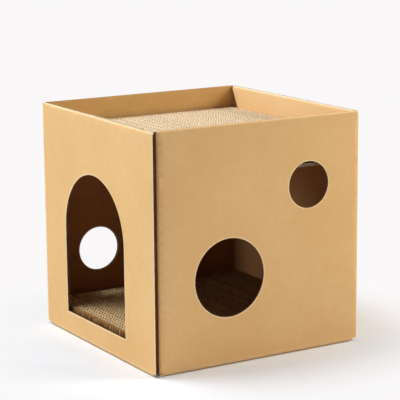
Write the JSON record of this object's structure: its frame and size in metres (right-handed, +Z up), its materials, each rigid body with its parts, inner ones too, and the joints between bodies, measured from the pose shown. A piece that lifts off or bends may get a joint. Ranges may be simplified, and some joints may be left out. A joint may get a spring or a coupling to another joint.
{
  "type": "cat condo",
  "caption": "Square corrugated cardboard cat condo with an arched doorway, round windows, a scratch pad recessed in its top and a scratch pad on its floor.",
  "frame": {"origin": "on the floor under the middle of the box", "axes": "+Z up through the rim; the doorway faces -X and the wall with two windows faces -Y"},
  "size_m": [0.4, 0.394, 0.4],
  "materials": {
    "kraft_board": "uncoated kraft liner, matte",
    "pad_strips": "cut flute ends, matte and porous",
    "hot_melt_glue": "milky hot-melt glue"
  },
  "bodies": {
    "shell": {"door_wall": "kraft_board", "front_wall": "kraft_board", "right_wall": "kraft_board", "back_wall": "kraft_board", "glue_crease": "kraft_board", "glue_flap": "kraft_board", "tray_base": "kraft_board", "tray_door_flange": "kraft_board", "tray_right_flange": "kraft_board", "seam_glue": "hot_melt_glue", "tray_glue": "hot_melt_glue"},
    "stiffener": {"shelf_stiffener": "kraft_board"},
    "upper_pad": {"top_pad": "pad_strips"},
    "base": {"base_board": "kraft_board"},
    "lower_pad": {"bottom_pad": "pad_strips"},
    "front_flap": {"front_bottom_flap": "kraft_board"},
    "back_flap": {"back_bottom_flap": "kraft_board"},
    "door_flap": {"door_bottom_flap": "kraft_board"},
    "right_flap": {"right_bottom_flap": "kraft_board"}
  },
  "joints": [
    {"name": "stiffener_lift", "type": "slide", "parent": "shell", "child": "stiffener", "axis": [0, 0, 1], "range_m": [0, 0.12]},
    {"name": "upper_pad_lift", "type": "slide", "parent": "stiffener", "child": "upper_pad", "axis": [0, 0, 1], "range_m": [0, 0.12]},
    {"name": "base_board_lift", "type": "slide", "parent": "shell", "child": "base", "axis": [0, 0, 1], "range_m": [0, 0.12]},
    {"name": "lower_pad_lift", "type": "slide", "parent": "base", "child": "lower_pad", "axis": [0, 0, 1], "range_m": [0, 0.12]},
    {"name": "front_flap_fold", "type": "hinge", "parent": "shell", "child": "front_flap", "pos_m": [0, -0.197, 0.004], "axis": [-1, 0, 0], "range_deg": [0, 180]},
    {"name": "back_flap_fold", "type": "hinge", "parent": "shell", "child": "back_flap", "pos_m": [0, 0.197, 0.004], "axis": [1, 0, 0], "range_deg": [0, 180]},
    {"name": "door_flap_fold", "type": "hinge", "parent": "shell", "child": "door_flap", "pos_m": [-0.2, 0, 0.004], "axis": [0, 1, 0], "range_deg": [0, 180]},
    {"name": "right_flap_fold", "type": "hinge", "parent": "shell", "child": "right_flap", "pos_m": [0.2, 0, 0.004], "axis": [0, -1, 0], "range_deg": [0, 180]}
  ]
}
